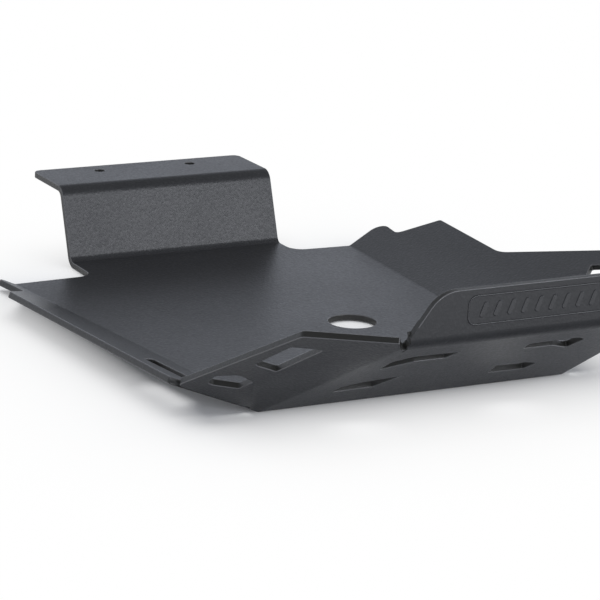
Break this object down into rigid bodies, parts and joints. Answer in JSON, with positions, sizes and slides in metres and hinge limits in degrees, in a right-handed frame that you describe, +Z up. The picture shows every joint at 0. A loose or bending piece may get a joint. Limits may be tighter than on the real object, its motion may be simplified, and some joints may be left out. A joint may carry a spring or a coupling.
{
  "type": "motorcycle skid plate",
  "caption": "Folded sheet skid plate for a motorcycle: flat floor, raised front ramp with lip, side walls, corner wings and a rear bolting flange.",
  "frame": {"origin": "underside of the floor, on the middle plane of the rear bolt holes, half way along the floor's right edge line", "axes": "+X to the right when seen from behind the front lip, +Y to the rear flange, +Z up"},
  "size_m": [0.3613, 0.4998, 0.0989],
  "materials": {
    "coat": "fine textured powder coat, semi-matt"
  },
  "bodies": {
    "root": {"skid_plate": "coat"}
  },
  "joints": []
}
